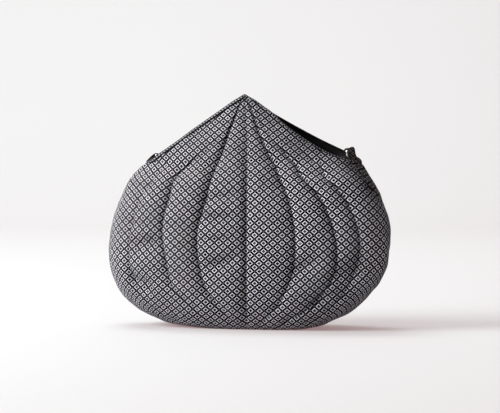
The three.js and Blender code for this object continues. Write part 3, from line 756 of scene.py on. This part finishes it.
def build_panel(name):
    points, pulls, in_tuck, out = grid_of(name)
    # painted shade beside the tucks, and towards the tip, low down and low on the right
    creases_and_shades = in_tuck + (1 - in_tuck) * painted_shade_tip_low_right(points)
    if name == "front":
        # the dents' painted shade on their downward-facing sides
        dented, painted_dent_shade = dents(points)
        pulls = pulls + dented
        creases_and_shades = creases_and_shades + (1 - creases_and_shades) * np.minimum(painted_dent_shade, DENT_SHADE_MOST)
    else:
        creases_and_shades = np.maximum(creases_and_shades, edge_shade(points))
    seed, z = SEEDS[name], points[..., 2]
    uneven = BROAD_WAVES[0] * waves(points, seed, BROAD_WAVES[1])
    uneven = uneven + FINE_WAVES[0] * waves(points, seed + 1, FINE_WAVES[1])
    narrowed = points * (PUCKER_ACROSS, PUCKER_ACROSS, 1.0)
    pucker = waves(narrowed, seed + 2, PUCKER_LENGTH) * np.sqrt(in_tuck) * PUCKER
    fade = smooth(z, *WAVES_RISE) * (1 - WAVES_LOST * smooth(z, *WAVES_FALL))
    fade[:, 0] = fade[:, -1] = 0
    puffed = points - out * (pulls - (uneven + pucker) * fade)[..., None]
    puffed[..., 2] = np.maximum(puffed[..., 2], 0)
    wall = puffed - level_at_mouth(name, points, out) * PANEL_WALL
    puffed, wall = twisted(own_side(name, puffed)), twisted(own_side(name, wall))
    uv = cloth_coordinates(puffed, twisted(points))
    rows, columns = points.shape[:2]
    faces = shell_faces(rows, columns, flip=name == "back")
    flags = np.tile(seam_flags(rows), 2)
    shades = np.stack([creases_and_shades, np.full_like(creases_and_shades, INSIDE_SHADE)])
    corners, places_on_cloth = np.stack([puffed, wall]), np.stack([uv, uv])
    panel = add_mesh(f"{name}_panel_cloth", corners, faces, places_on_cloth, flags, shades)
    dress(panel, BROCADE, "brocade", "bag", f"{name}_panel")
    return points, out


STRIP_FROM, STRIP_STEP, STRIP_TOP_ROWS = 126, 2.0, [SEWN_UNTIL, 171.2, 172.4]
STRIP_COLUMNS = 11
STRIP_WALL = 1.2
STRIP_SEAM_WIDTH, STRIP_SEAM_DEPTH = 1.5, 1.5
STRIP_TUCK_DEPTH, STRIP_TUCK_RISE = 1.8, (126, 142)      # its lower end is tucked under the front's cloth
# Painted shade on the strip: darkest at the front's seam, lighter further round, and fading out low down
STRIP_DARK, STRIP_LIGHTER, STRIP_LIGHTER_ACROSS = 1.2, 0.95, (12, 24)
STRIP_DARK_RISE = (118, 156)
STRIP_TURN = math.radians(32)  # its weave lies askew


def build_shoulder():
    """The strip of the back's cloth that comes over the right shoulder, beside the front's seam."""
    heights = np.concatenate([np.arange(STRIP_FROM, SEWN_UNTIL - 1, STRIP_STEP), STRIP_TOP_ROWS])
    share = np.sin(np.linspace(0, math.pi / 2, STRIP_COLUMNS))
    rows, creases_and_shades, shades = [], [], []
    for z in heights:
        across = front_end(z) + (1 - front_end(z)) * share
        row = form("front", across, np.full_like(across, z))
        place = lengths_along(row)
        rows.append(row)
        creases_and_shades.append(np.exp(-(place / STRIP_SEAM_WIDTH) ** 2))
        # painted shade, darkest beside the front's seam
        shade = STRIP_DARK - STRIP_LIGHTER * smooth(place, *STRIP_LIGHTER_ACROSS)
        shades.append(shade * smooth(z, *STRIP_DARK_RISE))
    points, creases_and_shades = np.array(rows), np.array(creases_and_shades)
    out = unit(np.cross(np.gradient(points, axis=1), np.gradient(points, axis=0)))
    tucked = STRIP_TUCK_DEPTH * (1 - smooth(points[..., 2], *STRIP_TUCK_RISE))
    pull = STRIP_SEAM_DEPTH * creases_and_shades + tucked
    points = twisted(own_side("front", points - out * pull[..., None]))
    u, v = lengths_along(points), np.repeat(heights[:, None], points.shape[1], axis=1)
    cos, sin = math.cos(STRIP_TURN), math.sin(STRIP_TURN)
    uv = np.stack([(u * cos - v * sin) / PITCH_U, (u * sin + v * cos) / PITCH_V], axis=-1)
    strip = add_mesh("shoulder_cloth", points, grid_faces(*points.shape[:2]), uv, None, np.array(shades))
    solidify(strip, STRIP_WALL)
    dress(strip, SHOULDER_SHADED_CLOTH, "brocade", "bag", "back_panel")


def build_lining(name, points, out):
    """Half of the black bag inside, hung from the bound edge, with every other column of its panel."""
    deep = np.interp(points[..., 2], LINING_INSET[:, 0], LINING_INSET[:, 1])
    inset = LINING_RIM + (deep - LINING_RIM) * inner_share(points)
    inside = points - level_at_mouth(name, points, out) * inset[..., None]
    inside = twisted(own_side(name, inside, LINING_GAP))
    keep = slice(0, None, 2)
    kept = inside[:, keep]
    uv = cloth_coordinates(inside, twisted(points))[:, keep]
    faces = grid_faces(*kept.shape[:2], flip=name == "front")
    lining = add_mesh(f"{name}_lining_cloth", kept, faces, uv)
    solidify(lining, LINING_WALL, 1.0)
    dress(lining, SATIN, "lining", "bag", f"lining_{name}")


# Bound edge of the mouth

BINDING_WIDTHS = (4.1, 1.7)    # of the visible band, left and right of the tip
BINDING_LIPS = {"front": 1.0, "back": 0.5}
TIP_BLEND = 9.0                # the width changes over this length on each side of the tip
BINDING_FROM, BINDING_UNTIL, BINDING_LAST = 171.0, 238.0, 239.0
BINDING_STEPS, BINDING_ROWS = 80, 170
TIP_RISE = 1.4                 # the bound edge passes this far over the panels' tip
END_ROWS, END_SIZE = 8, 0.45   # the band grows from this size over the rows at its ends
PROBE_SHRINK, PROBE_DROP = 0.96, 2.5
SOFTENINGS = 6


def binding_section(width, lip):
    """Down from the mouth line and out from the panel's face, around the folded edge."""
    return np.array([
        (width, 0.0), (width - 0.15, 0.32), (0.7 * width, 0.55), (0.4 * width, 0.6), (0.25, 0.5),
        (-0.25, 0.1), (-0.5, -0.7), (-0.5, -1.7), (-0.3, -2.4), (0.1, -2.8), (lip, -2.9),
        (lip + 0.1, -2.5), (0.8, -1.4), (width - 0.2, -0.8),
    ])


def mouth_path(name):
    """The mouth line of a panel from its left end over the tip to its right end."""
    def side(sign, heights):
        across = np.full(len(heights), float(sign))
        return form(name, across, np.array(heights))

    heights = np.concatenate([np.linspace(BINDING_FROM, BINDING_UNTIL, BINDING_STEPS), [BINDING_LAST]])
    tip = form(name, np.array([0.0]), np.array([TIP_Z + TIP_RISE]))
    line = np.concatenate([side(-1, heights), tip, side(1, heights[::-1])])
    return resampled(line, BINDING_ROWS)


def soften(rows):
    """Each row between the ends moves towards its neighbours."""
    rows[1:-1] = 0.25 * rows[:-2] + 0.5 * rows[1:-1] + 0.25 * rows[2:]


def resampled(line, count):
    length = lengths_along(line)
    wanted = np.linspace(0, length[-1], count)
    even = np.stack([np.interp(wanted, length, line[:, k]) for k in range(3)], axis=1)
    soften(even)
    return even


def binding_directions(name, line):
    """Directions down the panel from the mouth line, and out of the panel."""
    tangent = unit(np.gradient(line, axis=0))
    z = line[:, 2] - PROBE_DROP
    x = lean_at(line[:, 2]) + (line[:, 0] - lean_at(line[:, 2])) * PROBE_SHRINK
    lean = lean_at(z)
    halves = np.where(x < lean, -1.0, 1.0)
    edge = np.where(halves < 0, EDGES[name, -1](z), EDGES[name, 1](z))
    across = np.clip((x - lean) / (edge - halves * lean), -1, 1)
    down = form(name, across, z) - line
    down = unit(down - tangent * np.sum(down * tangent, axis=1, keepdims=True))
    out = np.cross(tangent, down)
    out *= np.sign(np.sum(out * np.array([0, SIDE[name], 0]), axis=1, keepdims=True))
    for _ in range(SOFTENINGS):
        for way in (down, out):
            soften(way)
            way[:] = unit(way)
    return down, out


def build_binding(name):
    """The folded band along the edge of a panel's mouth."""
    line = mouth_path(name)
    down, out = binding_directions(name, line)
    count = len(line)
    ends = smooth(np.minimum(np.arange(count), np.arange(count)[::-1]), 0, END_ROWS)
    length = lengths_along(line)
    tip = length[np.argmax(line[:, 2])]
    rows, uv = [], []
    for k in range(count):
        right = float(smooth(length[k], tip - TIP_BLEND, tip + TIP_BLEND))
        width = BINDING_WIDTHS[0] + (BINDING_WIDTHS[1] - BINDING_WIDTHS[0]) * right
        section = binding_section(width, BINDING_LIPS[name])
        size = END_SIZE + (1 - END_SIZE) * ends[k]
        rows.append(line[k] + size * (section[:, :1] * down[k] + section[:, 1:] * out[k]))
        around = lengths_along(section)
        uv.append(np.stack([around / width, np.full(len(section), length[k])], axis=1))
    points = twisted(own_side(name, np.array(rows)))
    columns = points.shape[1]
    flip = name == "front"
    faces = grid_faces(count, columns, flip=flip, ring=True)
    start = list(range(columns))
    finish = [(count - 1) * columns + k for k in range(columns)]
    faces += [start if flip else start[::-1], finish[::-1] if flip else finish]
    binding = add_mesh(f"{name}_binding_cloth", points, faces, np.array(uv))
    dress(binding, EDGE_CLOTH[name], "binding", "bag", f"binding_{name}")


# Tabs and rings

# Each ring's hinge stands in the middle of its tab's eye
EYES = {joint["child"].removeprefix("ring_"): np.array(joint["pos_m"]) / MM for joint in frame["joints"]}
TAB_OUTLINES = {
    # x and z around the folded loop
    "left": [(-109.8, 170.4), (-105.4, 172.6), (-102.0, 174.6), (-98.6, 175.7), (-96.6, 177.6),
             (-97.0, 180.2), (-99.4, 181.4), (-102.4, 180.3), (-105.4, 177.4), (-110.6, 172.6)],
    "right": [(112.0, 169.2), (108.0, 170.2), (105.4, 172.2), (104.4, 176.4),
              (101.4, 180.0), (98.0, 182.2), (98.4, 185.2), (100.6, 186.6), (103.6, 186.4),
              (106.2, 188.0), (108.6, 187.4), (109.6, 184.0), (110.6, 179.6), (112.4, 175.4),
              (115.6, 171.6), (115.4, 169.8)],
}
TAB_HALF_WIDTH = 2.6
TAB_ROUNDING = 1.1
TAB_POINTS, TAB_ROUNDING_STEPS = 72, 11
TAB_CRUMPLE, CRUMPLE_LENGTH, CRUMPLE_SEED = 0.16, 7, 41
TAB_WEAVE, TAB_SLANT = 1.5, 0.6      # times as fine as the panels' weave, and slanted
EYE_RADIUS = 1.15
EYE_INSET = 0.2                # its rims lie this far inside the tab's faces
WIRE_RADIUS = 0.9
WIRE_SIDES, RING_POINTS, BAR_STEPS, BOW_STEPS = 16, 96, 6, 32
RING_HALF_WIDTH, RING_HEIGHT, RING_SHOULDER = 4.4, 7.6, 3.4
RING_LEAN = {"left": 54, "right": 0}


def closed_curve(corners, count):
    """A smooth closed curve near some corners, evenly spaced."""
    line = np.array(corners, dtype=float)
    for _ in range(3):
        after = np.roll(line, -1, axis=0)
        line = np.stack([0.75 * line + 0.25 * after, 0.25 * line + 0.75 * after], axis=1).reshape(-1, 2)
    loop = np.concatenate([line, line[:1]])
    length = lengths_along(loop)
    wanted = np.linspace(0, length[-1], count, endpoint=False)
    return np.stack([np.interp(wanted, length, loop[:, k]) for k in range(2)], axis=1)


def build_tab(side):
    """A folded loop of cloth with rounded edges and an eye for the ring."""
    eye = EYES[side]
    outer = closed_curve(TAB_OUTLINES[side], TAB_POINTS)
    along = np.roll(outer, -1, axis=0) - np.roll(outer, 1, axis=0)
    normal = unit(np.stack([along[:, 1], -along[:, 0]], axis=1))
    area = np.sum(outer[:, 0] * np.roll(outer[:, 1], -1) - np.roll(outer[:, 0], -1) * outer[:, 1])
    normal *= np.sign(area)
    from_eye = outer - eye[[0, 2]]
    turn = np.unwrap(np.arctan2(from_eye[:, 1], from_eye[:, 0]))
    even = turn[0] + np.sign(turn[-1] - turn[0]) * 2 * math.pi * np.arange(len(outer)) / len(outer)
    turn = 0.5 * (turn + even)
    hole = eye[[0, 2]] + EYE_RADIUS * np.stack([np.cos(turn), np.sin(turn)], axis=1)
    flat = TAB_HALF_WIDTH - TAB_ROUNDING
    rows = [(hole, EYE_INSET - TAB_HALF_WIDTH)]
    for lean in np.linspace(-90, 90, TAB_ROUNDING_STEPS):
        inset = TAB_ROUNDING * (1 - math.cos(math.radians(lean)))
        y = math.copysign(flat, lean) + TAB_ROUNDING * math.sin(math.radians(lean))
        rows.append((outer - normal * inset, 0.0 if lean == 0 else y))
    rows.append((hole, TAB_HALF_WIDTH - EYE_INSET))
    points = np.array([np.stack([loop[:, 0], np.full(len(loop), eye[1] + y), loop[:, 1]], axis=1)
                       for loop, y in rows])
    crumple = waves(points, CRUMPLE_SEED, CRUMPLE_LENGTH) * TAB_CRUMPLE
    points[1:-1] += np.stack([normal[:, 0], 0 * normal[:, 0], normal[:, 1]], axis=1) * crumple[1:-1, :, None]
    uv = np.stack([(points[..., 0] + TAB_SLANT * points[..., 1]) / PITCH_U * TAB_WEAVE,
                   points[..., 2] / PITCH_V * TAB_WEAVE], axis=-1)
    count = len(outer)
    flip = area < 0
    faces = grid_faces(len(rows), count, flip=flip, ring=True)
    last = (len(rows) - 1) * count
    for k in range(count):
        quad = [last + k, last + (k + 1) % count, (k + 1) % count, k]
        faces.append(quad[::-1] if flip else quad)
    tab = add_mesh(f"tab_{side}_cloth", points, faces, uv)
    dress(tab, TAB_SHADED_CLOTH, "binding", "bag", f"tab_{side}")


def build_ring(side):
    """A D-ring of round wire through the tab's eye."""
    line = [(-RING_HALF_WIDTH * k / BAR_STEPS, 0.0) for k in range(-BAR_STEPS, BAR_STEPS + 1)]
    bow = RING_HEIGHT - RING_SHOULDER
    for step in range(BOW_STEPS + 1):
        turn = math.pi * step / BOW_STEPS
        line.append((-RING_HALF_WIDTH * math.cos(turn), -RING_SHOULDER - bow * math.sin(turn)))
    path = closed_curve(line, RING_POINTS)
    along = unit(np.roll(path, -1, axis=0) - np.roll(path, 1, axis=0))
    lean = math.radians(RING_LEAN[side]) * (-1 if side == "left" else 1)
    rows = []
    for k in range(len(path)):
        loop = []
        for n in range(WIRE_SIDES):
            turn = 2 * math.pi * n / WIRE_SIDES
            across, through = WIRE_RADIUS * math.cos(turn), WIRE_RADIUS * math.sin(turn)
            y = path[k, 0] - along[k, 1] * across
            z = path[k, 1] + along[k, 0] * across
            loop.append((through * math.cos(lean) + z * math.sin(lean), y,
                         z * math.cos(lean) - through * math.sin(lean)))
        rows.append(loop)
    points = np.array(rows) + EYES[side]
    count = RING_POINTS * WIRE_SIDES
    faces = grid_faces(RING_POINTS + 1, WIRE_SIDES, ring=True)
    faces = [[corner % count for corner in face] for face in faces]
    ring = add_mesh(f"ring_{side}_wire", points, faces)
    dress(ring, NICKEL, "metal", f"ring_{side}", f"ring_{side}")


# All the pieces of the bag

for panel_name in ("front", "back"):
    panel_points, panel_out = build_panel(panel_name)
    build_binding(panel_name)
    build_lining(panel_name, panel_points, panel_out)
build_shoulder()
for side_name in ("left", "right"):
    build_tab(side_name)
    build_ring(side_name)


# Floor, light and camera

FLOOR_FRONT, FLOOR_BACK, FLOOR_HALF_WIDTH = -4.0, 2.4, 5.0      # in metres
BEND_RADIUS, BEND_STEPS, BACKDROP_TOP = 0.9, 12, 4.0
# the floor glows a warm light of its own: painted light that keeps shadows on it light and pink; its colour
# is cooler so that the lit floor stays neutral
FLOOR_COLOUR, FLOOR_GLOW, FLOOR_ROUGHNESS = (0.372, 0.431, 0.431), (0.285, 0.19, 0.19), 0.85
WORLD_COLOUR, WORLD_LEVEL, WORLD_TILT = (1.0, 0.968, 0.962, 1), 0.443, (-0.34, 0.0, 0.13)


def plain(name, colour, glow, roughness):
    """Pale cloth that glows a little warm light of its own, painted light, so that shadows on it stay light.
    """
    n = Nodes(name)
    n.shader.inputs["Emission Color"].default_value = (*glow, 1)
    n.shader.inputs["Emission Strength"].default_value = 1.0
    place = n.add("ShaderNodeTexCoord").outputs["Object"]
    cloudy = n.noise(place, 3.0)
    lighter = tuple(min(1, 1.03 * x) for x in colour)
    n.link(n.mix(cloudy, colour, lighter), n.shader.inputs["Base Color"])
    n.shader.inputs["Roughness"].default_value = roughness
    return n.material


def build_sweep():
    """Pale floor that curves up into a backdrop."""
    profile = [(FLOOR_FRONT, 0.0), (FLOOR_BACK, 0.0)]
    for step in range(1, BEND_STEPS + 1):
        turn = math.pi / 2 * step / BEND_STEPS
        back, up = BEND_RADIUS * math.sin(turn), BEND_RADIUS * (1 - math.cos(turn))
        profile.append((FLOOR_BACK + back, up))
    profile.append((FLOOR_BACK + BEND_RADIUS, BACKDROP_TOP))
    across = (-FLOOR_HALF_WIDTH, 0.0, FLOOR_HALF_WIDTH)
    rows = np.array([[(x, y, z) for x in across] for y, z in profile]) / MM
    sweep = add_mesh("floor_sweep", rows, grid_faces(len(profile), len(across)))
    sweep.data.materials.append(plain("pale_floor", FLOOR_COLOUR, FLOOR_GLOW, FLOOR_ROUGHNESS))


def aim(obj, target):
    obj.rotation_euler = (Vector(target) - obj.location).to_track_quat("-Z", "Y").to_euler()


def area_light(name, place, target, size, power, colour=(1, 1, 1)):
    light = bpy.data.lights.new(name, "AREA")
    light.shape = "DISK"
    light.size = size
    light.energy = power
    light.color = colour
    obj = bpy.data.objects.new(name, light)
    obj.location = place
    aim(obj, target)
    bpy.context.scene.collection.objects.link(obj)


IMAGE_WIDTH_PX = 500
SCALE_MM_PER_PX = 1.042
SENSOR_MM = 36
CAMERA_DISTANCE = 2.2
AZIMUTH, ELEVATION = math.radians(4.5), math.radians(1.8)
TARGET = (0.0, 0.0, 0.1254)


def build_camera():
    camera = bpy.data.cameras.new("camera")
    camera.sensor_width = SENSOR_MM
    camera.lens = SENSOR_MM * CAMERA_DISTANCE / (IMAGE_WIDTH_PX * SCALE_MM_PER_PX * MM)
    obj = bpy.data.objects.new("camera", camera)
    flat = math.cos(ELEVATION)
    away = Vector((math.sin(AZIMUTH) * flat, -math.cos(AZIMUTH) * flat, math.sin(ELEVATION)))
    obj.location = Vector(TARGET) + CAMERA_DISTANCE * away
    aim(obj, TARGET)
    bpy.context.scene.collection.objects.link(obj)
    bpy.context.scene.camera = obj


def build_world(tree):
    """Even light, brighter from the left and from above."""
    background = tree.nodes["Background"]
    background.inputs[0].default_value = WORLD_COLOUR
    way = tree.nodes.new("ShaderNodeTexCoord").outputs["Generated"]
    lean = tree.nodes.new("ShaderNodeVectorMath")
    lean.operation = "DOT_PRODUCT"
    lean.inputs[1].default_value = WORLD_TILT
    tree.links.new(way, lean.inputs[0])
    total = tree.nodes.new("ShaderNodeMath")
    total.operation = "ADD"
    total.inputs[1].default_value = WORLD_LEVEL
    tree.links.new(lean.outputs["Value"], total.inputs[0])
    tree.links.new(total.outputs[0], background.inputs[1])


build_sweep()
build_camera()
area_light("key", place=(-1.85, -0.76, 1.15), target=(0, 0, 0.12), size=1.5, power=74,
           colour=(0.985, 0.99, 1.0))
area_light("back_wash", place=(-0.9, 1.2, 3.2), target=(-0.5, 3.2, 0.5), size=2.4, power=104)
world = bpy.data.worlds.new("studio")
world.use_nodes = True
build_world(world.node_tree)
bpy.context.scene.world = world
bpy.context.scene.view_settings.view_transform = "Standard"
